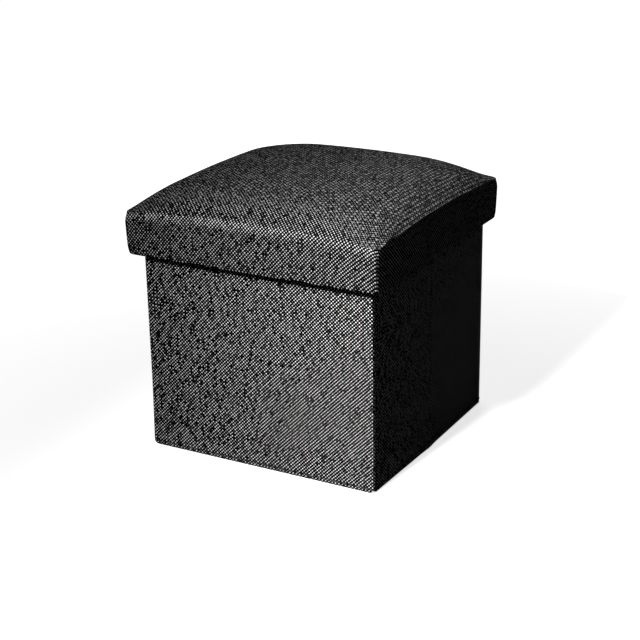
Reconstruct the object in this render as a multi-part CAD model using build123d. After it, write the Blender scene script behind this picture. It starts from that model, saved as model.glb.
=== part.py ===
from build123d import *
import os
from math import sqrt

# Folding storage cube with a padded lift-off lid. Millimetres, +Z up.
# The origin is on the floor, under the middle of the box. The front faces -Y.

# Box
BOX_SIDE = 284.0  # outside, front to back and side to side
WALL_HEIGHT = 262.2  # from the hem to the top edge
WALL_BOARD = 3.0  # hardboard in each wall
COVER = 1.2  # woven outer fabric with its backing
LINING = 0.6  # non-woven inner fabric
WHOLE_CORNER_R = 8.0  # rounded corners of the front and back walls, in their plane
HALF_CORNER_R = 2.4  # rounded corners of the four half walls at the sides
EDGE_R = 1.6  # soft outer edge of a wrapped wall

# Fabric hinges of the walls
CORNER_GAP = 1.0  # between a whole wall and the end of a half wall
CREASE_GAP = 0.6  # between the two halves of a folding wall
TAPE = 0.35  # thickness of the tape in each inner corner
TAPE_LEG = 8.0  # width of tape on each wall
TAPE_TOP_MARGIN = 6.0  # bare wall above and below the tape

# Bottom
HEM_HEIGHT = 5.0  # sewn fabric edge under the walls
FLOOR_CLOTH = 0.6
BASE_BOARD = 2.4
BASE_WRAP = 0.3  # non-woven fabric around the loose base board
BASE_CLEARANCE = 1.7  # between the base and the walls
BASE_CORNER_R = 5.0
TAB_WIDTH = 20.0  # ribbon for lifting the base
TAB_LENGTH = 46.0
TAB_THICKNESS = 0.9
TAB_INSET = 4.0  # from the front edge of the base

# Lid
LID_SEAT_GAP = 0.2  # between the wall tops and the lid's lining
LID_CLEARANCE = 3.4  # between the box and the lid's rim, on each side
LID_BOARD = 5.0
LID_RIM_BOARD = 5.0
LID_RIM_PAD = 2.5  # thin sponge over the rim boards
COVER_EASE = 0.3  # between the cover and the padding
SKIRT_DROP = 36.0  # from the underside of the lid board to the lid's lower edge
TURN_IN = 14.0  # fabric turned up inside the rim
FOAM_EDGE = 4.5  # foam above the lid board along its edges
CROWN = 36.0  # rise of the dome above the lid's sides
DOME_POWER = 3.0  # 2 gives an even dome, more a flatter top with fuller shoulders
DOME_LEVELS = (0, 0.12, 0.28, 0.46, 0.64, 0.8, 0.91, 0.97)  # shares of the dome's height
LID_CORNER_R = 8.0  # upright corners of the cover
SKIRT_EDGE_R = 2.0  # lower edge of the cover

# Staples that hold the turned-in fabric
STAPLE_WIDTH = 10.0
STAPLE_WIRE = 0.7
STAPLE_LEG = 4.5
STAPLES_PER_SIDE = 5
STAPLE_END_MARGIN = 24.0  # from the end of the rim to the first staple

# Sizes that follow
WALL = COVER + WALL_BOARD + LINING
HALF_BOX = BOX_SIDE / 2
INNER = HALF_BOX - WALL
HALF_WALL = INNER - CORNER_GAP - CREASE_GAP / 2
WALL_TOP = HEM_HEIGHT + WALL_HEIGHT
BASE_HALF = INNER - BASE_CLEARANCE
BASE_TOP = FLOOR_CLOTH + BASE_BOARD + 2 * BASE_WRAP
LID_UNDERSIDE = WALL_TOP + LID_SEAT_GAP
LID_BOARD_BOTTOM = LID_UNDERSIDE + LINING
LID_BOARD_TOP = LID_BOARD_BOTTOM + LID_BOARD
SKIRT_BOTTOM = LID_BOARD_BOTTOM - SKIRT_DROP
RIM_BOTTOM = SKIRT_BOTTOM + COVER
RIM_INNER = HALF_BOX + LID_CLEARANCE + LINING
RIM_OUTER = RIM_INNER + LID_RIM_BOARD
PAD_OUTER = RIM_OUTER + LID_RIM_PAD
LID_HALF = PAD_OUTER + COVER_EASE + COVER
RIM_TOP = LID_BOARD_TOP + FOAM_EDGE + COVER_EASE + COVER
TURN_IN_TOP = SKIRT_BOTTOM + TURN_IN


def block(x, y, z):
    """A box between the low and high value of each axis."""
    middle = Pos((x[0] + x[1]) / 2, (y[0] + y[1]) / 2, (z[0] + z[1]) / 2)
    return middle * Box(x[1] - x[0], y[1] - y[0], z[1] - z[0])


def square_block(half, z):
    """A square box around the Z axis."""
    return block((-half, half), (-half, half), z)


def export(solids, node):
    """One file for a node, which may be a group of separate solids."""
    if isinstance(solids, list):
        solids = Compound(children=solids)
    export_step(solids, f"parts/{node}.step")


# Walls: each is a board in a wrap of woven fabric, closed by a lining
def wall_layer(length, depth, margin, corner_r):
    """A flat layer of a wall that lies along +X, with its outer face at y = 0.
    Its rounded outline reaches down to the floor, and is cut straight above the hem."""
    layer = block((margin, length - margin), depth, (margin, WALL_TOP - margin))
    layer = fillet(layer.edges().filter_by(Axis.Y), corner_r - margin)
    return layer & block((0, length), depth, (HEM_HEIGHT + margin, WALL_TOP))


def wall_board(length, corner_r):
    return wall_layer(length, (COVER, COVER + WALL_BOARD), COVER, corner_r)


def wall_cover(length, corner_r):
    wrap = wall_layer(length, (0, COVER + WALL_BOARD), 0, corner_r)
    outer_edges = wrap.faces().sort_by(Axis.Y)[0].edges()
    above_hem = outer_edges.sort_by(Axis.Z)[1:]
    wrap = fillet(above_hem, EDGE_R)
    return wrap - wall_board(length, corner_r)


def wall_lining(length, corner_r):
    return wall_layer(length, (COVER + WALL_BOARD, WALL), 0, corner_r)


def make_wall(name, length, corner_r, place):
    export(place * wall_board(length, corner_r), f"{name}_board")
    export(place * wall_cover(length, corner_r), f"{name}_cover")
    export(place * wall_lining(length, corner_r), f"{name}_lining")


def make_whole_wall(name, place):
    make_wall(name, BOX_SIDE, WHOLE_CORNER_R, place)


def make_half_wall(name, place):
    make_wall(name, HALF_WALL, HALF_CORNER_R, place)


def make_walls():
    end = INNER - CORNER_GAP
    crease = CREASE_GAP / 2
    make_whole_wall("front_wall", Pos(-HALF_BOX, -HALF_BOX, 0))
    make_whole_wall("back_wall", Pos(HALF_BOX, HALF_BOX, 0) * Rot(0, 0, 180))
    make_half_wall("right_front", Pos(HALF_BOX, -end, 0) * Rot(0, 0, 90))
    make_half_wall("right_back", Pos(HALF_BOX, crease, 0) * Rot(0, 0, 90))
    make_half_wall("left_front", Pos(-HALF_BOX, -crease, 0) * Rot(0, 0, -90))
    make_half_wall("left_back", Pos(-HALF_BOX, end, 0) * Rot(0, 0, -90))


def corner_tape():
    """The tape in the left front corner: one leg on each wall, across the gap between them."""
    height = (HEM_HEIGHT + TAPE_TOP_MARGIN, WALL_TOP - TAPE_TOP_MARGIN)
    reach = -INNER + CORNER_GAP + TAPE_LEG
    on_whole_wall = block((-INNER, -INNER + TAPE), (-INNER, reach), height)
    on_half_wall = block((-INNER, reach), (-INNER, -INNER + TAPE), height)
    return on_whole_wall + on_half_wall


def make_corner_tapes():
    corners = ("front_left", "front_right", "back_right", "back_left")
    for turn, corner in enumerate(corners):
        export(Rot(0, 0, 90 * turn) * corner_tape(), f"{corner}_corner_tape")


# Bottom: a sewn hem under the walls, a floor cloth inside it, and a loose base board
def make_hem():
    """Four strips of sewn fabric that the walls stand on, with the rounded corners of the front and back."""
    height = (0, HEM_HEIGHT)
    outline = block((-HALF_BOX, HALF_BOX), (-HALF_BOX, -INNER), (0, WALL_TOP))
    low_corners = outline.edges().filter_by(Axis.Y).group_by(Axis.Z)[0]
    front = fillet(low_corners, WHOLE_CORNER_R) & square_block(HALF_BOX, height)
    side = block((-HALF_BOX, -INNER), (-INNER, INNER), height)
    export([front, mirror(front, Plane.XZ), side, mirror(side, Plane.YZ)], "bottom_hem")


def make_base():
    floor_cloth = square_block(INNER, (0, FLOOR_CLOTH))
    wrapped = square_block(BASE_HALF, (FLOOR_CLOTH, BASE_TOP))
    wrapped = fillet(wrapped.edges().filter_by(Axis.Z), BASE_CORNER_R)
    board = square_block(BASE_HALF - BASE_WRAP, (FLOOR_CLOTH + BASE_WRAP, BASE_TOP - BASE_WRAP))
    board = fillet(board.edges().filter_by(Axis.Z), BASE_CORNER_R - BASE_WRAP)
    tab_root = -BASE_HALF + TAB_INSET
    tab = block(
        (-TAB_WIDTH / 2, TAB_WIDTH / 2),
        (tab_root, tab_root + TAB_LENGTH),
        (BASE_TOP, BASE_TOP + TAB_THICKNESS),
    )
    free_end = tab.edges().filter_by(Axis.Z).group_by(Axis.Y)[-1]
    export(floor_cloth, "floor_cloth")
    export(board, "base_board")
    export(wrapped - board, "base_wrap")
    export(fillet(free_end, TAB_WIDTH / 4), "base_pull_tab")


# Lid: a board with four rim boards, padded, and covered in the same fabric as the walls
def rounded_square(half, corner_r, level):
    return Pos(0, 0, level) * RectangleRounded(2 * half, 2 * half, corner_r)


def dome_level(share, inset):
    """The dome's outline at a share of its height: square at the rim, rounder towards the top."""
    side = LID_HALF * (1 - share**2) ** (1 / DOME_POWER)
    diagonal = LID_HALF * (1 - share) ** (1 / DOME_POWER)
    corner_r = LID_CORNER_R + (side - diagonal) / (1 - sqrt(0.5))
    return rounded_square(side - inset, corner_r - inset, RIM_TOP + CROWN * share - inset)


def crowned_block(inset, bottom):
    """The lid's padded form, a given distance inside the cover: upright sides under a dome."""
    foot = rounded_square(LID_HALF - inset, LID_CORNER_R - inset, bottom)
    sides = extrude(foot, RIM_TOP - inset - bottom)
    dome = loft([dome_level(share, inset) for share in DOME_LEVELS])
    return sides + dome


def make_lid_cover():
    outside = crowned_block(0, SKIRT_BOTTOM)
    outside = fillet(outside.faces().sort_by(Axis.Z)[0].edges(), SKIRT_EDGE_R)
    inside = crowned_block(COVER, RIM_BOTTOM)
    mouth = square_block(RIM_INNER - COVER, (SKIRT_BOTTOM, TURN_IN_TOP))
    turned_in = square_block(RIM_INNER, (SKIRT_BOTTOM, TURN_IN_TOP)) - mouth
    export(outside - inside - mouth + turned_in, "lid_cover")


def make_lid_boards():
    export(square_block(RIM_OUTER, (LID_BOARD_BOTTOM, LID_BOARD_TOP)), "lid_board")
    height = (RIM_BOTTOM, LID_BOARD_BOTTOM)
    front = block((-RIM_OUTER, RIM_OUTER), (-RIM_OUTER, -RIM_INNER), height)
    left = block((-RIM_OUTER, -RIM_INNER), (-RIM_INNER, RIM_INNER), height)
    export(front, "lid_rim_front")
    export(mirror(front, Plane.XZ), "lid_rim_back")
    export(left, "lid_rim_left")
    export(mirror(left, Plane.YZ), "lid_rim_right")


def make_lid_padding():
    export(crowned_block(COVER + COVER_EASE, LID_BOARD_TOP), "lid_foam")
    height = (RIM_BOTTOM, LID_BOARD_TOP)
    outline = square_block(PAD_OUTER, height)
    outline = fillet(outline.edges().filter_by(Axis.Z), LID_CORNER_R - COVER - COVER_EASE)
    front = outline & block((-PAD_OUTER, PAD_OUTER), (-PAD_OUTER, -RIM_OUTER), height)
    left = outline & block((-PAD_OUTER, -RIM_OUTER), (-RIM_OUTER, RIM_OUTER), height)
    export([front, mirror(front, Plane.XZ), left, mirror(left, Plane.YZ)], "lid_rim_padding")


def make_lid_lining():
    """A shallow tray under the lid board, down the rim as far as the turned-in fabric."""
    tray = square_block(RIM_INNER, (TURN_IN_TOP, LID_BOARD_BOTTOM))
    hollow = square_block(RIM_INNER - LINING, (TURN_IN_TOP, LID_UNDERSIDE))
    export(tray - hollow, "lid_lining")


def staple():
    """One staple through the turned-in fabric of the front rim, in the middle of the side."""
    face = -RIM_INNER + COVER
    level = (SKIRT_BOTTOM + TURN_IN / 2, SKIRT_BOTTOM + TURN_IN / 2 + STAPLE_WIRE)
    half = STAPLE_WIDTH / 2
    bridge = block((-half, half), (face, face + STAPLE_WIRE), level)
    leg = block((half - STAPLE_WIRE, half), (face - STAPLE_LEG, face), level)
    return bridge + leg + mirror(leg, Plane.YZ)


def make_staples():
    reach = RIM_INNER - STAPLE_END_MARGIN
    pitch = 2 * reach / (STAPLES_PER_SIDE - 1)
    staples = []
    for side in range(4):
        for place in range(STAPLES_PER_SIDE):
            staples.append(Rot(0, 0, 90 * side) * Pos(-reach + pitch * place, 0, 0) * staple())
    export(staples, "lid_staples")


os.makedirs("parts", exist_ok=True)
make_walls()
make_corner_tapes()
make_hem()
make_base()
make_lid_cover()
make_lid_boards()
make_lid_padding()
make_lid_lining()
make_staples()
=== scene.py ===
import math

import bmesh
import bpy
import numpy as np
from mathutils import Matrix, Vector


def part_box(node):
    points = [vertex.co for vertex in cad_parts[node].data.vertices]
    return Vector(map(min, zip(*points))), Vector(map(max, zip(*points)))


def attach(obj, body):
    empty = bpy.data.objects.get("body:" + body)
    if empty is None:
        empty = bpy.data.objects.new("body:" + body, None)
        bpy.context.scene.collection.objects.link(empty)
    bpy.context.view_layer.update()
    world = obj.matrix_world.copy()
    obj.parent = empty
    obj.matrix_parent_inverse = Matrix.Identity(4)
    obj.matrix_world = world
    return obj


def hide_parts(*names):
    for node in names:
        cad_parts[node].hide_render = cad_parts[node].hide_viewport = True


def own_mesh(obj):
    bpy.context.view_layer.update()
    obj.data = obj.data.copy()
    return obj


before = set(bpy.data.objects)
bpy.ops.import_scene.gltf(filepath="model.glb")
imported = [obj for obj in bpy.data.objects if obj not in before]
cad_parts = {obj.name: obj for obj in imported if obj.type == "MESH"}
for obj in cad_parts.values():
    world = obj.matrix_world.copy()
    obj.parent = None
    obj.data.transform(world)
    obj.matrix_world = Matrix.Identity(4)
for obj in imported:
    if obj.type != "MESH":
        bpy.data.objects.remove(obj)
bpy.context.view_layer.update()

# Folding storage cube with a padded lift-off lid, in metres. The front faces -Y.
MM = 0.001

# Cloth and its folds
CLOTH = 1.0 * MM  # woven cover with its backing
LINING = 0.5 * MM  # non-woven lining
WRAP_EDGE_R = 1.6 * MM  # soft edge where the cover turns round a wall's board
WHOLE_CORNER_R = 8.0 * MM  # corners of the front and back wall, in their plane
HALF_CORNER_R = 2.4 * MM  # corners of the half walls at the sides
HAIR_GAP = 0.1 * MM  # keeps a cloth clear of the board behind it
TAPE = 0.3 * MM  # a tape's thickness

# Weave
THREAD = 2.05 * MM  # width of one thread
JOINED = 0.26  # how far the floats of a diagonal join, from 0 for dots to 1 for stripes
DARKEST = 0.004  # grey between the floats
BRIGHTEST = 0.95  # and on the lightest of them
CALM_FROM, CALM_TO = -0.1, 0.12  # the cloth is mottled to the left of these and calm to the right
FLECK_PITCH = 2.3  # light flecks on the flat of the lid, in threads from column to column
FLECK_STEP = 2.85  # and along a column
FOLD_HIGHLIGHT = 6.0 * MM  # how far a painted highlight on the lid's cloth reaches to both sides of a line
FOLD_HIGHLIGHT_DROP = 3.5 * MM  # and how far that line lies below the fold
CLOTH_MEASURE = "cloth_measure"  # distances along the threads and from that line, kept in the lid's mesh

# Lid
LID_CORNER_R = 3.5 * MM  # upright corners of the lid, at half height
LID_TOP_CORNER_R = 10.0 * MM  # the same corners where the dome starts
LID_LOW_CORNER_R = 6.5 * MM  # the same corners at the lower edge
LID_PROUD = 0.6 * MM  # how far the lid's fabric stands off its padding
LID_SIT = (-1.2 * MM, -0.7 * MM)  # the fabric sits a little to the left and front
SKIRT_EDGE_R = 2.4 * MM  # lower edge of the lid's skirt
SKIRT_DRAW_IN = 1.2 * MM  # how far the skirt's lower edge leans in
DOME_POWER = 5.0  # 2 is an even dome, more is flatter with fuller shoulders
DOME_FULLNESS = 0.9  # 1 leaves a crisp fold at the rim, less rounds it
RIM_RISE = 13.2 * MM  # how far the fold at the rim lies above the lid's board
RIM_DIP = 6.3 * MM  # how much lower it lies at the lid's corners
CROWN_GAP = 1.5 * MM  # how far the dome stays below the CAD dome
CORNER_REACH = 10.0 * MM  # the height over which an upright corner grows softer
TURN_IN_R = 1.6 * MM  # the bend where it turns up
FOAM_INSET = 1.9 * MM  # from the lid's fabric to its foam

# Rings of cloth
SIDE_STEPS = 40  # points along a side
CORNER_STEPS = 9  # and round a corner
FACE_REACH = 0.47  # how near to its middle a panel's rings come, as a share of its width
FACE_SHARES = (0.04, 0.3, 0.6, 0.9)  # rings across a square sheet, as shares of its half width

# Which way each wall is turned about Z; a wall's own frame has x along it and y into the box
WALL_TURNS = {
    "front_wall": 0,
    "back_wall": 180,
    "right_front": 90,
    "right_back": 90,
    "left_front": -90,
    "left_back": -90,
}
WALL_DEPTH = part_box("front_wall_board")[1].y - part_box("front_wall_cover")[0].y
LINING_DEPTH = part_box("front_wall_lining")[1].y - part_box("front_wall_cover")[0].y
HEM_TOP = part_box("front_wall_cover")[0].z

# Slack and spread of the walls
WHOLE_DISH = 0.55 * MM  # how far the cover of a whole wall dips
WHOLE_RIDGE = 0.5 * MM  # and how much of that a soft ridge takes back
HALF_DISH = 0.4 * MM  # how far the cover of a half wall dips
CREASE_BULGE = 0.4 * MM  # how far the near half of the right side stands out at the foot of its crease
FOOT_SHARES = (0.0, 0.4, 0.47, 0.53, 1.0)  # along the right side, from the front
FOOT_SPREAD = (0.0, 3.1 * MM, 4.3 * MM, 3.2 * MM, 2.6 * MM)  # how far its lower edge spreads there
LEFT_SPREAD = 1.8 * MM  # how far the front wall's foot spreads at the left
LEFT_SPREAD_HEIGHT = 90.0 * MM

# Light
WORLD_LIGHT = 0.028  # what the world gives, where it isn't seen
LAMPS = {
    "key_lamp": {
        "place": (0.0, -1.25, 1.1), "target": (0.75, -0.14, 0.0), "size": 0.18, "spread": 70, "watts": 12.6,
    },
    "fill_lamp": {
        "place": (-0.25, -1.4, 1.2), "target": (0.0, 0.0, 0.35), "size": 0.5, "spread": 180, "watts": 3.6,
    },
    "back_lamp": {
        "place": (-1.4, 1.5, 0.3), "target": (0.0, 0.0, 0.15), "size": 0.5, "spread": 180, "watts": 10.0,
    },
    "over_lamp": {
        "place": (-0.5, 1.2, 1.5), "target": (0.0, 0.0, 0.3), "size": 0.6, "spread": 180, "watts": 2.9,
    },
}


class Value:
    """A value in a shader. Arithmetic on it adds Math nodes."""

    def __init__(self, nodes, socket):
        self.nodes = nodes
        self.socket = socket

    def math(self, operation, *others):
        return self.nodes.math(operation, self, *others)

    def __add__(self, other):
        return self.math("ADD", other)

    def __sub__(self, other):
        return self.math("SUBTRACT", other)

    def __rsub__(self, other):
        return self.nodes.math("SUBTRACT", other, self)

    def __mul__(self, other):
        return self.math("MULTIPLY", other)

    def __truediv__(self, other):
        return self.math("DIVIDE", other)

    def __pow__(self, other):
        return self.math("POWER", other)

    def __gt__(self, other):
        return self.math("GREATER_THAN", other)

    def __lt__(self, other):
        return self.math("LESS_THAN", other)

    def __abs__(self):
        return self.math("ABSOLUTE")

    __radd__ = __add__
    __rmul__ = __mul__


class Nodes:
    """The nodes of a material or of the world."""

    def __init__(self, tree):
        self.tree = tree

    def feed(self, socket, value):
        if isinstance(value, Value):
            self.tree.links.new(value.socket, socket)
        else:
            socket.default_value = value

    def node(self, kind, settings=None, sockets=None, out=0):
        """Any node: its type, its settings, then the values or links of its sockets."""
        made = self.tree.nodes.new(kind)
        for key, setting in (settings or {}).items():
            setattr(made, key, setting)
        for key, value in (sockets or {}).items():
            self.feed(made.inputs[key], value)
        return Value(self, made.outputs[out])

    def math(self, operation, *values):
        return self.node("ShaderNodeMath", {"operation": operation}, dict(enumerate(values)))

    def axes(self, output):
        """The three axes of the object's own coordinates, or of its normal."""
        vector = self.node("ShaderNodeTexCoord", out=output)
        return [self.node("ShaderNodeSeparateXYZ", sockets={0: vector}, out=axis) for axis in "XYZ"]

    def vector(self, x, y, z):
        return self.node("ShaderNodeCombineXYZ", sockets={0: x, 1: y, 2: z})

    def noise(self, vector, scale, detail=2.0, roughness=0.5):
        sockets = {"Vector": vector, "Scale": scale, "Detail": detail, "Roughness": roughness}
        return self.node("ShaderNodeTexNoise", sockets=sockets)

    def chance(self, x, y, seed):
        """A random value for each whole x and y."""
        return self.node("ShaderNodeTexWhiteNoise", sockets={"Vector": self.vector(x, y, seed)})

    def blend(self, factor, colour_a, colour_b):
        sockets = {0: factor, 6: colour_a, 7: colour_b}
        return self.node("ShaderNodeMix", {"data_type": "RGBA"}, sockets, out=2)

    def spread(self, value, low, high, to_low=0.0, to_high=1.0):
        """The value from low to high, moved to a new range and held there."""
        sockets = {0: value, 1: low, 2: high, 3: to_low, 4: to_high}
        return self.node("ShaderNodeMapRange", sockets=sockets)

    def bump(self, height, distance, strength=1.0):
        sockets = {"Height": height, "Distance": distance, "Strength": strength}
        return self.node("ShaderNodeBump", sockets=sockets, out="Normal")


class Finish(Nodes):
    """One procedural material, with its shader."""

    def __init__(self, name):
        self.material = bpy.data.materials.new(name)
        self.material.use_nodes = True
        super().__init__(self.material.node_tree)
        self.shader = self.tree.nodes["Principled BSDF"]

    def shade(self, sockets):
        for name, value in sockets.items():
            self.feed(self.shader.inputs[name], value)
        return self.material


def grey(level):
    return (level, level, level, 1.0)


# Finishes
def cloth_axes(finish):
    """Two axes in the plane of the cloth, picked by the way that the surface faces."""
    x, y, z = finish.axes("Object")
    across, along, upward = (abs(axis) for axis in finish.axes("Normal"))
    faces_up = upward > 0.64
    faces_side = (across > along) * (1 - faces_up)
    u = x + (y - x) * faces_side
    v = z + (y - z) * faces_up
    return u, v


def wall_axes(finish):
    """The same two axes, and a painted highlight line so far away that the walls get no painted highlight.
    """
    return *cloth_axes(finish), 1.0


def measured_axes(finish):
    """Two axes in the plane of the cloth and the distance from the line of the painted highlight, as the
    mesh carries them.
    """
    measure = finish.node("ShaderNodeAttribute", {"attribute_name": CLOTH_MEASURE}, out="Vector")
    return [finish.node("ShaderNodeSeparateXYZ", sockets={0: measure}, out=axis) for axis in "XYZ"]


def thread_height(a, b, column, row):
    """The rounded backs of the threads on top, weft and warp by turns, from places counted in threads."""
    across = abs(a - column - 0.5) * 2
    down = abs(b - row - 0.5) * 2
    weft_over = ((column + row) * 0.5).math("FRACT") > 0.25
    weft_dome = (1 - down * down) * (1 - across * across * 0.8)
    warp_dome = (1 - across * across) * (1 - down * down * 0.8)
    return warp_dome + (weft_dome - warp_dome) * weft_over


def leaning_floats(finish, a, b, u, v, faces_up):
    """Light floats of the weft, which join into diagonals that lean one way or the other."""
    rising = (1 - ((a - b) * math.pi).math("COSINE")) * 0.5
    falling = (1 + ((a + b) * math.pi).math("COSINE")) * 0.5
    upright = finish.spread(finish.noise(finish.vector(u, v, 3.0), 40.0), 0.34, 0.42)
    lean = upright + (1 - upright * 2) * faces_up
    lean_up = rising * (falling * (1 - JOINED) + JOINED)
    lean_down = falling * (rising * (1 - JOINED) + JOINED)
    return lean_down + (lean_up - lean_down) * lean


def staggered_flecks(finish, a, b, drift):
    """Larger light flecks of uneven strength, set in staggered columns."""
    place = a / FLECK_PITCH + drift * 0.7
    column = (place + 0.5).math("FLOOR")
    turn = b / FLECK_STEP + column * 0.5
    across = (place * (2 * math.pi)).math("COSINE") * 0.5 + 0.5
    along = (turn * (2 * math.pi)).math("COSINE") * 0.5 + 0.5
    strength = finish.chance(column, (turn + 0.5).math("FLOOR"), 6.5)
    return finish.spread(across * along * (strength + 0.45), 0.35, 0.95)


def twin_dots(finish, column, row):
    """A random value for each float, set against that of its twin in the row."""
    twins = column * 0.25
    first = finish.chance(twins.math("FLOOR"), row, 1.5)
    return first + (1 - first * 2) * (twins.math("FRACT") > 0.4)


def uneven_yarn(finish, u, v, column, row):
    """Thick and thin places along the threads, and soft patches."""
    weft_line = finish.noise(finish.vector(u * 80, row * 0.9, 4.0), 1.0, 1.0)
    warp_line = finish.noise(finish.vector(column * 0.9, v * 70, 9.0), 1.0, 1.0)
    patch = finish.noise(finish.vector(u * 90, v * 60, 2.0), 1.0, 3.0, 0.6)
    slub = finish.spread(weft_line, 0.3, 0.62, 0.6, 1.15)
    shadow = finish.spread(warp_line, 0.32, 0.58, 0.5, 1.15)
    wash = finish.spread(patch, 0.34, 0.6, 0.7, 1.1)
    return slub * shadow * wash


def charcoal_weave(name, find_axes, tone, calm_end):
    """Plain weave of black warp and grey twisted weft. A tone below 1 darkens the whole cloth as painted
    shade, and a painted highlight lightens it along the lid's front fold.
    """
    finish = Finish(name)
    u, v, from_line = find_axes(finish)
    drift = finish.noise(finish.vector(u, v, 0.0), 90.0) - 0.5
    a = u / THREAD + drift * 0.5
    b = v / THREAD + drift * 0.4
    column = a.math("FLOOR")
    row = b.math("FLOOR")
    height = thread_height(a, b, column, row)
    _, facing_back, facing_up = finish.axes("Normal")
    faces_up = facing_up > 0.6
    on_flat = finish.spread(facing_back, -0.5, -0.15) * faces_up
    calm = finish.spread(u, CALM_FROM, CALM_TO)

    dot_level = (twin_dots(finish, column, row) - 0.5) * (1.5 - calm * 0.2) + 0.92
    weft_level = finish.chance(row, 0.0, 2.5) * 0.4 + 0.8
    mottled = 1.5 - calm * (1.5 - calm_end)
    yarn_level = 0.84 + (uneven_yarn(finish, u, v, column, row) - 0.82) * mottled
    # Painted highlight: a lighter band along the lid's front fold, only on cloth that faces the front, and
    # weaker towards the right
    near_line = finish.spread(from_line, 0.3 * FOLD_HIGHLIGHT, FOLD_HIGHLIGHT, 1.0, 0.0) * (facing_back < -0.3)
    painted_highlight = near_line * (1 - calm * 0.6)
    level = dot_level * weft_level * yarn_level * (1 + painted_highlight * 1.6)
    weave = finish.spread(leaning_floats(finish, a, b, u, v, faces_up) ** 3.4 * level, 0.13, 0.27)
    fleck = staggered_flecks(finish, a, b, drift)
    # A tone below 1 darkens this copy of the cloth as painted shade; the painted highlight lifts it back
    # along the fold
    light = (weave + (fleck * 0.52 - weave * 0.58) * on_flat) * (tone + (1 - tone) * painted_highlight)
    return finish.shade({
        "Base Color": finish.blend(light, grey(DARKEST), grey(BRIGHTEST)),
        "Roughness": finish.spread(height, 0.0, 1.0, 0.95, 0.72),
        "Specular IOR Level": 0.0,
        "Normal": finish.bump(height, 0.45 * MM, 0.55),
    })


def black_nonwoven():
    """Thin felt-like cloth with a grid of small pressed dots and loose fibres."""
    finish = Finish("black_nonwoven")
    u, v = cloth_axes(finish)
    pitch = 2.4 * MM
    a = u / pitch
    b = v / pitch + (a.math("FLOOR") * 0.5).math("FRACT")
    across = a.math("FRACT") - 0.5
    down = b.math("FRACT") - 0.5
    pressed = finish.spread(across * across + down * down, 0.03, 0.09, 1.0, 0.0)
    fibres = finish.noise(finish.vector(u * 900, v * 260, 0.0), 1.0, 4.0, 0.7)
    cloud = finish.noise(finish.vector(u, v, 5.0), 60.0, 3.0)
    tone = finish.spread(fibres * 0.6 + cloud * 0.4, 0.3, 0.7) * (1 - pressed * 0.6)
    height = fibres * 0.35 + cloud * 0.4 - pressed * 0.5
    return finish.shade({
        "Base Color": finish.blend(tone, grey(0.012), grey(0.045)),
        "Roughness": finish.spread(pressed, 0.0, 1.0, 0.85, 0.5),
        "Specular IOR Level": 0.3,
        "Normal": finish.bump(height, 0.25 * MM, 0.6),
    })


def ribbed_cloth(name, rib, dark, light, rib_axis):
    """Narrow woven goods with fine cross ribs."""
    finish = Finish(name)
    x, y, z = finish.axes("Object")
    lengthwise = {"y": y, "z": z}[rib_axis]
    turn = (lengthwise / rib).math("FRACT") - 0.5
    ridge = 1 - turn * turn * 4
    fuzz = finish.noise(finish.vector(x, y, z), 1400.0, 3.0, 0.6)
    wear = finish.noise(finish.vector(x, y, z), 70.0, 2.0)
    # Besides the fuzz and wear, the colour follows the rib profile: the grooves are painted darker as shade
    # and the rib tops lighter.
    tone = finish.spread(ridge * 0.6 + fuzz * 0.5 + wear * 0.3, 0.35, 1.2)
    return finish.shade({
        "Base Color": finish.blend(tone, grey(dark), grey(light)),
        "Roughness": finish.spread(fuzz, 0.3, 0.7, 0.55, 0.8),
        "Specular IOR Level": 0.35,
        "Normal": finish.bump(ridge + fuzz * 0.4, 0.2 * MM, 0.7),
    })


def pressed_board(name, dark, light, fleck, chip):
    """Hardboard or fibreboard: matted fibres with darker flecks."""
    finish = Finish(name)
    place = finish.node("ShaderNodeTexCoord", out="Object")
    fibres = finish.noise(place, 1.0 / chip, 5.0, 0.7)
    cloud = finish.noise(place, 0.08 / chip, 3.0)
    flecks = finish.spread(finish.noise(place, 0.45 / chip, 2.0), 0.6, 0.68)
    body = finish.blend(finish.spread(fibres * 0.65 + cloud * 0.35, 0.32, 0.68), dark, light)
    return finish.shade({
        "Base Color": finish.blend(flecks * 0.55, body, fleck),
        "Roughness": finish.spread(fibres, 0.3, 0.7, 0.5, 0.75),
        "Normal": finish.bump(fibres, 0.15 * MM, 0.6),
    })


def cushion_foam():
    """Cream foam with open cells of mixed size."""
    finish = Finish("cushion_foam")
    place = finish.node("ShaderNodeTexCoord", out="Object")
    cells = finish.node("ShaderNodeTexVoronoi", sockets={"Vector": place, "Scale": 900.0})
    coarse = finish.node("ShaderNodeTexVoronoi", sockets={"Vector": place, "Scale": 340.0})
    yellowing = finish.noise(place, 14.0, 3.0)
    pores = finish.spread(cells * 0.6 + coarse * 0.6, 0.1, 0.75)
    body = finish.blend(yellowing, (0.78, 0.72, 0.56, 1.0), (0.84, 0.8, 0.7, 1.0))
    # The colour is painted darker where the bump is low, as shade in the hollows between the cells.
    return finish.shade({
        "Base Color": finish.blend(pores * 0.5, body, (0.5, 0.44, 0.3, 1.0)),
        "Roughness": finish.spread(pores, 0.0, 1.0, 0.8, 0.95),
        "Normal": finish.bump(1 - pores, 0.4 * MM, 0.7),
    })


def staple_wire():
    """Zinc-plated wire with drawing lines and dull spots."""
    finish = Finish("staple_wire")
    x, y, z = finish.axes("Object")
    lines = finish.noise(finish.vector(x * 60, y * 60, z * 6000), 1.0, 3.0)
    spots = finish.noise(finish.vector(x, y, z), 900.0, 2.0)
    return finish.shade({
        "Base Color": finish.blend(finish.spread(spots, 0.4, 0.65), grey(0.62), grey(0.4)),
        "Metallic": 1.0,
        "Roughness": finish.spread(lines + spots * 0.5, 0.4, 1.0, 0.22, 0.5),
        "Normal": finish.bump(lines, 0.03 * MM, 0.4),
    })


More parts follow.
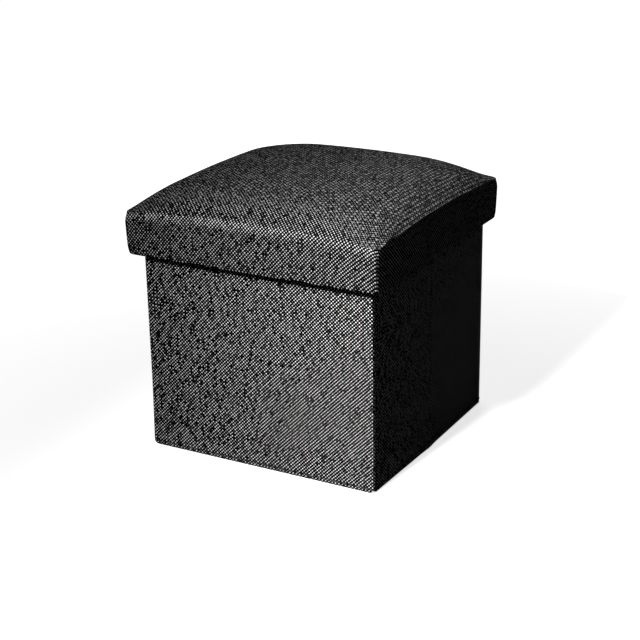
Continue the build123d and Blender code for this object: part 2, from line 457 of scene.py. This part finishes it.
def make_finishes():
    return {
        "charcoal_weave": charcoal_weave("charcoal_weave", wall_axes, tone=1.0, calm_end=0.35),
        # The lid's copy of the cloth is darker all over as painted shade, and carries the painted highlight
        # along its front fold.
        "lid_weave_painted_light": charcoal_weave("charcoal_weave_lid_painted_light", measured_axes, tone=0.63, calm_end=0.8),
        "black_nonwoven": black_nonwoven(),
        "black_tape": ribbed_cloth("black_tape", rib=0.9 * MM, dark=0.008, light=0.05, rib_axis="z"),
        "black_ribbon": ribbed_cloth("black_ribbon", rib=1.1 * MM, dark=0.012, light=0.075, rib_axis="y"),
        "staple_wire": staple_wire(),
        "cushion_foam": cushion_foam(),
        "lid_fibreboard": pressed_board(
            "lid_fibreboard",
            dark=(0.34, 0.22, 0.12, 1),
            light=(0.55, 0.4, 0.25, 1),
            fleck=(0.18, 0.1, 0.05, 1),
            chip=1.6 * MM,
        ),
        "wall_hardboard": pressed_board(
            "wall_hardboard",
            dark=(0.15, 0.075, 0.035, 1),
            light=(0.3, 0.165, 0.085, 1),
            fleck=(0.06, 0.03, 0.015, 1),
            chip=1.0 * MM,
        ),
    }


FINISHES = make_finishes()


# Mesh work
def ring_faces(count, around, first):
    """Faces from ring to ring, with the first and last ring closed."""
    faces = []
    for ring in range(count - 1):
        low = first + ring * around
        high = low + around
        for step in range(around):
            following = (step + 1) % around
            faces.append((low + step, low + following, high + following, high + step))
    last = first + (count - 1) * around
    faces.append(tuple(reversed(range(first, first + around))))
    faces.append(tuple(range(last, last + around)))
    return faces


def piece_from_shells(name, shells, slot, body):
    """A piece made of closed shells, each given by its rings of points."""
    points = []
    faces = []
    for rings in shells:
        rings = np.asarray(rings)
        faces += ring_faces(rings.shape[0], rings.shape[1], len(points))
        points += [tuple(point) for point in rings.reshape(-1, 3)]
    mesh = bpy.data.meshes.new(name)
    mesh.from_pydata(points, [], faces)
    shell = bmesh.new()
    shell.from_mesh(mesh)
    bmesh.ops.recalc_face_normals(shell, faces=shell.faces)
    shell.to_mesh(mesh)
    shell.free()
    mesh.polygons.foreach_set("use_smooth", [True] * len(mesh.polygons))
    mesh.set_sharp_from_angle(angle=math.radians(50))
    mesh.materials.append(FINISHES[slot])
    piece = bpy.data.objects.new(name, mesh)
    bpy.context.scene.collection.objects.link(piece)
    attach(piece, body)
    return piece


def piece_from_rings(name, rings, slot, body):
    return piece_from_shells(name, [rings], slot, body)


def arc(centre, radius, start, end, steps):
    """Points on a circle's arc, in degrees."""
    angles = np.radians(np.linspace(start, end, steps))
    return [(centre[0] + radius * math.cos(t), centre[1] + radius * math.sin(t)) for t in angles]


def run(start, end, steps):
    """Points from start up to, but not at, the end."""
    shares = np.linspace(0, 1, steps, endpoint=False)
    return [tuple(np.array(start) * (1 - t) + np.array(end) * t) for t in shares]


def panel_outline(length, height, corner_r, inset, cut):
    """A rounded panel outline that stands on the floor, cut straight at a height above it."""
    centre_in = max(corner_r, inset + 0.05 * MM)
    radius = centre_in - inset
    right = length - centre_in
    top = height - centre_in
    base = cut + inset
    turn = math.degrees(math.asin(min(0.0, max(-1.0, (base - centre_in) / radius))))
    low_y = base - radius * math.sin(math.radians(turn))
    low_right = arc((right, low_y), radius, turn, 0, CORNER_STEPS)
    high_right = arc((right, top), radius, 0, 90, CORNER_STEPS)
    high_left = arc((centre_in, top), radius, 90, 180, CORNER_STEPS)
    low_left = arc((centre_in, low_y), radius, 180, 180 - turn, CORNER_STEPS)
    points = []
    corners = (low_right, high_right, high_left, low_left)
    for corner, following in zip(corners, corners[1:] + corners[:1]):
        points += corner[:-1]
        points += run(corner[-1], following[0], SIDE_STEPS)
    return np.array(points)


def panel_rings(length, height, corner_r, cut, profile, bow=None):
    """Rings of a flat panel in a wall's own frame, from (inset, depth) pairs."""
    rings = []
    for inset, depth in profile:
        outline = panel_outline(length, height, corner_r, inset, cut)
        depths = np.full(len(outline), depth)
        if bow is not None:
            slack = bow(outline[:, 0] / length, outline[:, 1] / height)
            depths = depths + slack * (1 - depth / WALL_DEPTH)
        rings.append(np.column_stack([outline[:, 0], depths, outline[:, 1]]))
    return np.array(rings)


def square_ring(half, corner_r, level, side_steps=SIDE_STEPS, corner_steps=CORNER_STEPS):
    """A level rounded square around the Z axis."""
    corner_r = min(corner_r, 0.97 * half)
    centre = half - corner_r
    points = []
    for quarter in range(4):
        turn = 90 * quarter
        corner = np.array(arc((centre, centre), corner_r, 0, 90, corner_steps))
        following = np.array([-centre, half])
        points += [spin(point, turn) for point in corner[:-1]]
        points += run(spin(corner[-1], turn), spin(following, turn), side_steps)
    points = np.array(points)
    return np.column_stack([points, np.full(len(points), level)])


def spin(point, degrees):
    """A point in the XY plane, turned about the origin."""
    turn = math.radians(degrees)
    x, y = point[0], point[1]
    return (x * math.cos(turn) - y * math.sin(turn), x * math.sin(turn) + y * math.cos(turn))


def wall_place(name):
    """Where a wall's own frame starts, how it is turned, and the wall's length and top."""
    low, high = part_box(f"{name}_cover")
    turn = WALL_TURNS[name]
    starts = {0: (low.x, low.y), 180: (high.x, high.y), 90: (high.x, low.y), -90: (low.x, high.y)}
    length = high.x - low.x if turn in (0, 180) else high.y - low.y
    return np.array(starts[turn]), turn, length, high.z


def stand_wall(name, rings):
    """Rings in a wall's own frame, moved to where the wall stands."""
    start, turn, _, _ = wall_place(name)
    cosine = math.cos(math.radians(turn))
    sine = math.sin(math.radians(turn))
    x = start[0] + rings[..., 0] * cosine - rings[..., 1] * sine
    y = start[1] + rings[..., 0] * sine + rings[..., 1] * cosine
    return np.stack([x, y, rings[..., 2]], axis=-1)


def facing_in(widest, edge, depth, steps=16):
    """(inset, depth) pairs across a panel's face, from its middle to its edge."""
    insets = edge + (widest - edge) * np.linspace(1, 0, steps) ** 1.6
    return [(inset, depth) for inset in insets]


# Walls
def edge_fade(along, up):
    """1 in the middle of a wall and 0 at its edges."""
    return np.sin(np.pi * np.clip(along, 0, 1)) * np.sin(np.pi * np.clip(up, 0, 1))


def whole_wall_bow(along, up):
    """Slack in the cover of a whole wall: a slight dish that a soft ridge crosses beside the middle."""
    ridge = np.exp(-((along - 0.55) / 0.07) ** 2)
    return edge_fade(along, up) * (WHOLE_DISH - WHOLE_RIDGE * ridge)


def half_wall_bow(along, up):
    """Slack in the cover of a half wall, pulled flat at its edges."""
    return edge_fade(along, up) * HALF_DISH


def near_half_bow(along, up):
    """The near half of the right side, which stands out a little at the foot of its crease."""
    foot = np.clip(1 - up * 1.3, 0, 1) ** 1.5
    return half_wall_bow(along, up) - CREASE_BULGE * np.clip(along, 0, 1) ** 3 * foot


def spread_left_foot(points):
    """The front wall's foot, a little wider at the left than its board."""
    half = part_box("bottom_hem")[1].x
    near_end = np.clip(-points[..., 0] / half, 0, 1) ** 4
    low = np.clip(1 - points[..., 2] / LEFT_SPREAD_HEIGHT, 0, 1) ** 1.5
    points[..., 0] -= LEFT_SPREAD * near_end * low
    return points


WALL_BOWS = {"front_wall": whole_wall_bow, "back_wall": whole_wall_bow, "right_front": near_half_bow}


def make_wall_cover(name, corner_r, bow):
    _, _, length, top = wall_place(name)
    widest = min(length, top) * FACE_REACH
    face = facing_in(widest, WRAP_EDGE_R, 0.0)
    turned_edge = arc((WRAP_EDGE_R, WRAP_EDGE_R), WRAP_EDGE_R, 270, 180, 6)[1:]
    profile = face + turned_edge
    profile += [(0.0, WALL_DEPTH), (CLOTH, WALL_DEPTH), (CLOTH, CLOTH)]
    profile += [(inset, CLOTH) for inset, _ in reversed(face)]
    rings = stand_wall(name, panel_rings(length, top, corner_r, HEM_TOP, profile, bow))
    if name == "front_wall":
        rings = spread_left_foot(rings)
    cover = piece_from_rings(f"{name}_fabric", rings, "charcoal_weave", name)
    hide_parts(f"{name}_cover")


def make_wall_lining(name, corner_r):
    _, _, length, top = wall_place(name)
    widest = min(length, top) * FACE_REACH
    back = WALL_DEPTH + HAIR_GAP
    soft_edge = 0.4 * MM
    face = facing_in(widest, soft_edge, LINING_DEPTH)
    profile = face + [(HAIR_GAP, LINING_DEPTH - 0.15 * MM), (HAIR_GAP, back)]
    profile += [(inset, back) for inset, _ in reversed(face)]
    rings = panel_rings(length, top, corner_r, HEM_TOP, profile)
    lining = piece_from_rings(f"{name}_inner_cloth", stand_wall(name, rings), "black_nonwoven", name)
    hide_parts(f"{name}_lining")


def make_walls():
    for name in WALL_TURNS:
        whole = name in ("front_wall", "back_wall")
        corner_r = WHOLE_CORNER_R if whole else HALF_CORNER_R
        make_wall_cover(name, corner_r, WALL_BOWS.get(name, half_wall_bow))
        make_wall_lining(name, corner_r)


# Tapes in the inner corners: one leg on each wall, meeting where the walls turn
def upright_strip(name, along, thick, height, slot, body):
    """A thin upright strip between two points of the floor plan, with a soft outline."""
    start, end = (Vector(point) for point in along)
    run_way = (end - start).normalized()
    width = (end - start).length
    inward = Vector(thick)
    middle = width * 0.4
    soft_edge = 0.5 * MM
    profile = [(middle, 1.0), (soft_edge, 1.0), (HAIR_GAP, 0.8), (HAIR_GAP, 0.0), (middle, 0.0)]
    rings = []
    for inset, share in profile:
        outline = panel_outline(width, height[1] - height[0], 0.6 * MM, inset, 0.0)
        ring = []
        for step, up in outline:
            point = start + run_way * step + inward * share
            ring.append((point.x, point.y, height[0] + up))
        rings.append(ring)
    return piece_from_rings(name, rings, slot, body)


def make_corner_tapes():
    corners = {
        "front_left": (-1, -1, "front_wall", "left_front"),
        "front_right": (1, -1, "front_wall", "right_front"),
        "back_left": (-1, 1, "back_wall", "left_back"),
        "back_right": (1, 1, "back_wall", "right_back"),
    }
    for corner, (side, end, whole, half) in corners.items():
        node = f"{corner}_corner_tape"
        low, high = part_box(node)
        inner_x = low.x if side < 0 else high.x
        inner_y = low.y if end < 0 else high.y
        width = high.x - low.x
        height = (low.z, high.z)
        lift = 0.05 * MM
        whole_y = inner_y - end * lift
        half_x = inner_x - side * lift
        whole_leg = [(inner_x, whole_y), (inner_x - side * width, whole_y)]
        half_leg = [(half_x, inner_y - end * TAPE), (half_x, inner_y - end * width)]
        legs = ((whole, whole_leg, (0, -end * TAPE)), (half, half_leg, (-side * TAPE, 0)))
        for body, along, inward in legs:
            tape = upright_strip(f"{node}_{body}", along, inward, height, "black_tape", body)
            if body == whole:
                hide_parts(node)


# Bottom
def crumple_with_fold(piece):
    """Gives the piece a mesh of its own."""
    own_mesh(piece)


def hem_section(depth, height):
    """The closed section of the sewn bottom edge, (depth, height) from its outer lower corner."""
    roll = 1.5 * MM
    section = arc((roll, roll), roll, 180, 270, 6)
    section += arc((depth - roll, roll), roll, 270, 360, 6)
    section += [(depth, height * 0.7), (depth, height), (depth * 0.5, height)]
    section += [(0.0, height), (0.0, height * 0.66)]
    return section


def make_hem():
    low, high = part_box("bottom_hem")
    depth = LINING_DEPTH
    height = high.z - low.z - HAIR_GAP
    half = high.x
    shares = np.linspace(0, 1, 64)
    for turn, side in enumerate(("front", "right", "back", "left")):
        whole = side in ("front", "back")
        reach = half if whole else half - depth
        end_r = WHOLE_CORNER_R if side == "front" else HALF_CORNER_R
        strip = []
        for share in shares:
            spread = np.interp(share, FOOT_SHARES, FOOT_SPREAD) if side == "right" else 0.0
            ring = []
            for inward, up in hem_section(depth, height):
                drop = max(0.0, end_r - up)
                end = reach - end_r + math.sqrt(end_r**2 - drop**2)
                out = spread * (1 - up / height)
                x, y = spin((-end + 2 * end * share, -half + inward - out), 90 * turn)
                ring.append((x, y, up))
            strip.append(ring)
        strip = np.array(strip)
        if side == "front":
            strip = spread_left_foot(strip)
        hem = piece_from_rings(f"bottom_hem_{side}", strip, "charcoal_weave", "back_wall")
        crumple_with_fold(hem)
    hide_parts("bottom_hem")


def make_floor_cloth():
    low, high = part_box("floor_cloth")
    half = high.x
    top = high.z - 0.05 * MM
    profile = [(half * share, top) for share in FACE_SHARES]
    profile += [(half, top), (half, low.z)]
    profile += [(half * share, low.z) for share in reversed(FACE_SHARES)]
    rings = [square_ring(reach, 1.0 * MM, level) for reach, level in profile]
    cloth = piece_from_rings("floor_cloth_sheet", rings, "black_nonwoven", "back_wall")
    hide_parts("floor_cloth")
    crumple_with_fold(cloth)


def make_base_wrap():
    low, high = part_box("base_wrap")
    half = high.x
    corner_r = 5.0 * MM
    edge = 1.2 * MM
    skin = 0.2 * MM
    shares = (0.04, 0.25, 0.5, 0.75, 0.92)
    profile = [(half * share, high.z) for share in shares]
    profile += arc((half - edge, high.z - edge), edge, 90, 0, 5)
    profile += arc((half - edge, low.z + edge), edge, 0, -90, 5)
    profile += [(half * share, low.z) for share in reversed(shares)]
    outer = [square_ring(reach, corner_r, level) for reach, level in profile]
    middle = (low.z + high.z) / 2
    inner = []
    for reach, level in reversed(profile):
        step = skin if level < middle else -skin
        inner.append(square_ring(min(reach, half - skin), corner_r, level + step))
    wrap = piece_from_shells("base_cloth", [outer, inner], "black_nonwoven", "base")
    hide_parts("base_wrap")


def ribbon_loop(low, high, thick):
    """(y, z) points along a doubled ribbon, on the face that lies this deep in it."""
    steps = 24
    fold_r = (high.z - low.z) / 2
    tip = high.y - fold_r
    points = run((low.y, low.z + thick), (tip, low.z + thick), steps)
    points += arc((tip, low.z + fold_r), fold_r - thick, -90, 90, CORNER_STEPS)
    points += reversed(run((low.y, high.z - thick), (tip, high.z - thick), steps))
    return points


def make_pull_tab():
    """A ribbon doubled over to a loop and sewn to the base along its front edge."""
    low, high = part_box("base_pull_tab")
    thick = 0.32 * MM
    edge = 0.12 * MM
    rings = []
    for outside, inside in zip(ribbon_loop(low, high, 0.0), ribbon_loop(low, high, thick)):
        middle = ((outside[0] + inside[0]) / 2, (outside[1] + inside[1]) / 2)
        section = (
            (low.x + edge, outside),
            (low.x, middle),
            (low.x + edge, inside),
            (0.0, inside),
            (high.x - edge, inside),
            (high.x, middle),
            (high.x - edge, outside),
            (0.0, outside),
        )
        rings.append([(x, *point) for x, point in section])
    tab = piece_from_rings("base_ribbon", rings, "black_ribbon", "base")
    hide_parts("base_pull_tab")


# Lid
LID_LOW, LID_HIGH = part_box("lid_cover")
LID_HALF = LID_HIGH.x + LID_PROUD
LID_BOARD_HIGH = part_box("lid_board")[1]
RIM_TOP = LID_BOARD_HIGH.z + RIM_RISE
CROWN = LID_HIGH.z - RIM_TOP - CROWN_GAP
RIM_INNER = -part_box("lid_rim_front")[1].y
TURN_IN_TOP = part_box("lid_lining")[0].z


def ease(share):
    """0 to 1, slow at both ends."""
    share = min(1.0, max(0.0, share))
    return share * share * (3 - 2 * share)


def lid_corner(level):
    """The lid's upright corners are softest at their two ends."""
    near_top = ease((level - RIM_TOP + CORNER_REACH) / CORNER_REACH)
    near_low = ease((LID_LOW.z + CORNER_REACH - level) / CORNER_REACH)
    top = (LID_TOP_CORNER_R - LID_CORNER_R) * near_top
    low = (LID_LOW_CORNER_R - LID_CORNER_R) * near_low
    return LID_CORNER_R + top + low


def dome_profile(inset, steps=40):
    """(half width, corner radius, level) of the dome's outlines, from the rim to the top."""
    levels = []
    for reach in 1 - 0.97 * np.linspace(0, 1, steps) ** 1.6:
        fall = 1 - reach**DOME_POWER
        side = LID_HALF * reach
        diagonal = LID_HALF * (1 - math.sqrt(fall)) ** (1 / DOME_POWER)
        corner_r = LID_TOP_CORNER_R + (side - diagonal) / (1 - math.sqrt(0.5))
        level = RIM_TOP + CROWN * fall**DOME_FULLNESS
        levels.append((side - inset, corner_r - inset, level - inset))
    return levels


def skirt_profile(inset):
    """(half width, corner radius, level) from the turned-in edge round the lower edge and up the side."""
    bottom = LID_LOW.z + inset
    outside = LID_HALF - inset
    turned = RIM_INNER - CLOTH - HAIR_GAP + inset
    edge = SKIRT_EDGE_R - inset
    lean = SKIRT_DRAW_IN
    points = [(turned, TURN_IN_TOP), (turned, TURN_IN_TOP - 5 * MM), (turned, bottom + 4 * MM)]
    points += arc((turned + TURN_IN_R, bottom + TURN_IN_R), TURN_IN_R, 180, 270, 5)
    points += arc((outside - lean - edge, bottom + edge), edge, 270, 360, 7)
    for share in np.linspace(0.12, 0.97, 10):
        level = bottom + (RIM_TOP - inset - bottom) * share
        points.append((outside - lean * (1 - share) ** 1.5, level))
    return [(half, max(2 * MM, lid_corner(level) - inset), level) for half, level in points]


def corner_share(x, y):
    """0 along the lid's middle lines and 1 at its corners."""
    u = np.clip(np.abs(x) / LID_HALF, 0.01, 1) ** 2
    v = np.clip(np.abs(y) / LID_HALF, 0.01, 1) ** 2
    return u * v / (u + v - u * v)


def lid_rings(profile):
    """The lid's outlines, which dip towards the corners above the middle of the skirt."""
    rings = []
    dip_from = LID_LOW.z + CORNER_REACH
    for half, corner_r, level in profile:
        ring = square_ring(half, max(corner_r, 0.8 * MM), level, side_steps=56, corner_steps=12)
        risen = ease((level - dip_from) / (RIM_TOP - dip_from))
        ring[:, 2] -= RIM_DIP * risen * corner_share(ring[:, 0], ring[:, 1])
        rings.append(ring)
    return rings


def dome_height(x, y):
    """Height of the dome above the middle of its rim."""
    u = np.clip(np.abs(x) / LID_HALF, 0, 1)
    v = np.clip(np.abs(y) / LID_HALF, 0, 1)
    fall = (1 - u**DOME_POWER) * (1 - v**DOME_POWER)
    return CROWN * fall**DOME_FULLNESS - RIM_DIP * corner_share(x, y)


def dome_length(x, y):
    """Length of the cloth over the dome from x = 0 to each point, along a line of constant y."""
    length = np.zeros_like(x)
    before = (0 * x, dome_height(0 * x, y))
    for share in np.sin(np.linspace(0, math.pi / 2, 33))[1:]:
        here = (x * share, dome_height(x * share, y))
        length += np.hypot(here[0] - before[0], here[1] - before[1])
        before = here
    return np.sign(x) * length


def measure_lid_cloth(cover):
    """Stores each point's distances from the lid's middle, along both threads, and from the line of the
    painted highlight.
    """
    points = np.array([vertex.co for vertex in cover.data.vertices]) - np.array([*LID_SIT, 0.0])
    x, y, z = points.T
    x_rim = np.clip(x, -LID_HALF, LID_HALF)
    y_rim = np.clip(y, -LID_HALF, LID_HALF)
    below_fold = RIM_TOP - RIM_DIP * corner_share(x, y) - z
    from_line = np.abs(below_fold - FOLD_HIGHLIGHT_DROP)
    drop = np.clip(below_fold, 0, None)
    on_side = np.abs(x) > np.abs(y)
    u = dome_length(x_rim, y_rim) + np.sign(x) * drop * on_side
    v = dome_length(y_rim, x_rim) + np.sign(y) * drop * ~on_side
    measure = cover.data.attributes.new(CLOTH_MEASURE, "FLOAT_VECTOR", "POINT")
    measure.data.foreach_set("vector", np.column_stack([u, v, from_line]).ravel())


def make_lid_cover():
    outer = lid_rings(skirt_profile(0.0) + dome_profile(0.0))
    inner = lid_rings(skirt_profile(CLOTH) + dome_profile(CLOTH))
    rings = np.array(list(reversed(outer)) + inner) + np.array([*LID_SIT, 0.0])
    cover = piece_from_rings("lid_fabric", rings, "charcoal_weave", "lid")
    measure_lid_cloth(cover)
    cover.data.materials[0] = FINISHES["lid_weave_painted_light"]
    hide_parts("lid_cover")


def make_lid_foam():
    bottom = LID_BOARD_HIGH.z + HAIR_GAP
    reach = LID_HALF - FOAM_INSET
    foot = [(LID_HALF * share, LID_CORNER_R, bottom) for share in (0.05, 0.5, 0.9)]
    foot += [(reach - 1.0 * MM, LID_CORNER_R, bottom), (reach, LID_CORNER_R, bottom + 1.2 * MM)]
    rings = lid_rings(foot + dome_profile(FOAM_INSET))
    foam = piece_from_rings("lid_cushion", rings, "cushion_foam", "lid")
    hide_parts("lid_foam")


def make_rim_padding():
    """Thin strips of foam round the rim, pressed to the inside of the fabric."""
    rim_outer = LID_BOARD_HIGH.x
    bottom = LID_LOW.z + SKIRT_EDGE_R + CLOTH
    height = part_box("lid_rim_padding")[1].z - bottom
    length = 2 * rim_outer
    edge = 0.8 * MM
    for turn, side in enumerate(("front", "right", "back", "left")):
        outward = spin((0, -1), 90 * turn)
        fabric_inside = LID_HALF - CLOTH + outward[0] * LID_SIT[0] + outward[1] * LID_SIT[1]
        thick = fabric_inside - HAIR_GAP - rim_outer
        face = facing_in(height * 0.45, edge, thick, steps=5)
        profile = face + [(HAIR_GAP, thick - edge), (HAIR_GAP, edge), (edge, HAIR_GAP)]
        profile += [(inset, HAIR_GAP) for inset, _ in reversed(face)]
        rings = []
        for ring in panel_rings(length, height, 1.5 * MM, 0.0, profile):
            spun = []
            for x, depth, up in ring:
                lean = SKIRT_DRAW_IN * (1 - up / height) ** 1.5 * depth / thick
                spun.append((*spin((x - length / 2, lean - depth - rim_outer), 90 * turn), bottom + up))
            rings.append(spun)
        pad = piece_from_rings(f"lid_rim_sponge_{side}", rings, "cushion_foam", "lid")
        if turn == 0:
            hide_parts("lid_rim_padding")


def make_lid_lining():
    low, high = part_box("lid_lining")
    half = high.x - HAIR_GAP
    over = high.z - HAIR_GAP
    under = over - LINING
    fold = 1.5 * MM
    face = [(half * share, under) for share in FACE_SHARES]
    face += arc((half - LINING - fold, under - fold), fold, 90, 0, 6)
    face += [(half - LINING, low.z)]
    back = [(half, low.z), (half, over)]
    back += [(half * share, over) for share in reversed(FACE_SHARES)]
    rings = [square_ring(reach, 2.0 * MM, level) for reach, level in face + back]
    lining = piece_from_rings("lid_inner_cloth", rings, "black_nonwoven", "lid")
    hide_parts("lid_lining")


def dress_cad_nodes():
    """Every board and staple that stays as it is built gets its own finish."""
    boards = {name: "wall_hardboard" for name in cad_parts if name.endswith("_board")}
    boards["lid_board"] = "lid_fibreboard"
    for side in ("front", "back", "left", "right"):
        boards[f"lid_rim_{side}"] = "lid_fibreboard"
    boards["lid_staples"] = "staple_wire"
    for name, slot in boards.items():
        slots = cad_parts[name].data.materials
        if len(slots):
            slots[0] = FINISHES[slot]
        else:
            slots.append(FINISHES[slot])


# Stage, light and camera
def make_floor():
    """A pale floor that is white to the camera, keeps the shadow and gives little light back."""
    reach = 12.0
    mesh = bpy.data.meshes.new("studio_floor")
    corners = [(-reach, -reach, 0), (reach, -reach, 0), (reach, reach, 0), (-reach, reach, 0)]
    mesh.from_pydata(corners, [], [(0, 1, 2, 3)])
    floor = bpy.data.objects.new("studio_floor", mesh)
    floor.location.z = -0.2 * MM
    bpy.context.scene.collection.objects.link(floor)
    finish = Finish("studio_floor")
    finish.material.cycles.emission_sampling = "NONE"
    pale = finish.node("ShaderNodeBsdfDiffuse", sockets={"Color": grey(0.85)})
    x, y, _ = finish.axes("Object")
    away = (x * x + y * y) ** 0.5
    glow_colour = finish.blend(finish.spread(away, 0.3, 1.2), grey(0.76), grey(1.0))
    glow = finish.node("ShaderNodeEmission", sockets={"Color": glow_colour})
    seen = finish.node("ShaderNodeAddShader", sockets={0: pale, 1: glow})
    dull = finish.node("ShaderNodeBsdfDiffuse", sockets={"Color": grey(0.04)})
    bounce = finish.node("ShaderNodeLightPath", out="Is Diffuse Ray")
    surface = finish.node("ShaderNodeMixShader", sockets={0: bounce, 1: seen, 2: dull})
    finish.feed(finish.tree.nodes["Material Output"].inputs["Surface"], surface)
    mesh.materials.append(finish.material)


def make_world():
    """A dim light from all round, which is white where it is seen."""
    world = bpy.data.worlds.new("studio")
    world.use_nodes = True
    nodes = Nodes(world.node_tree)
    seen = nodes.node("ShaderNodeLightPath", out="Is Camera Ray")
    for ray in ("Is Glossy Ray", "Is Transmission Ray"):
        seen = seen.math("MAXIMUM", nodes.node("ShaderNodeLightPath", out=ray))
    backdrop = world.node_tree.nodes["Background"]
    nodes.feed(backdrop.inputs["Color"], grey(1.0))
    nodes.feed(backdrop.inputs["Strength"], nodes.spread(seen, 0.0, 1.0, WORLD_LIGHT, 1.0))
    bpy.context.scene.world = world


def make_lamp(name, place, target, size, spread, watts):
    lamp = bpy.data.lights.new(name, "AREA")
    lamp.shape = "DISK"
    lamp.size = size
    lamp.spread = math.radians(spread)
    lamp.energy = watts
    made = bpy.data.objects.new(name, lamp)
    made.location = place
    made.rotation_euler = (Vector(target) - Vector(place)).to_track_quat("-Z", "Y").to_euler()
    bpy.context.scene.collection.objects.link(made)


def make_camera():
    azimuth = math.radians(29.37)
    elevation = math.radians(20.38)
    roll = math.radians(-0.99)
    target = Vector((0.017, -0.0311, 0.142))
    distance = 1.716
    away = Vector((
        math.sin(azimuth) * math.cos(elevation),
        -math.cos(azimuth) * math.cos(elevation),
        math.sin(elevation),
    ))
    right = Vector((math.cos(azimuth), math.sin(azimuth), 0))
    up = away.cross(right)
    right, up = (
        right * math.cos(roll) + up * math.sin(roll),
        up * math.cos(roll) - right * math.sin(roll),
    )
    lens = bpy.data.cameras.new("camera")
    lens.sensor_width = 36.0
    lens.lens = 84.84
    camera = bpy.data.objects.new("camera", lens)
    turn = Matrix((right, up, away)).transposed().to_4x4()
    camera.matrix_world = Matrix.Translation(target + away * distance) @ turn
    bpy.context.scene.collection.objects.link(camera)
    bpy.context.scene.camera = camera


make_walls()
make_corner_tapes()
make_floor_cloth()
make_hem()
make_base_wrap()
make_pull_tab()
make_lid_foam()
make_lid_cover()
make_rim_padding()
make_lid_lining()
dress_cad_nodes()
make_floor()
make_world()
for lamp_name, lamp in LAMPS.items():
    make_lamp(lamp_name, **lamp)
make_camera()
bpy.context.scene.view_settings.view_transform = "Standard"
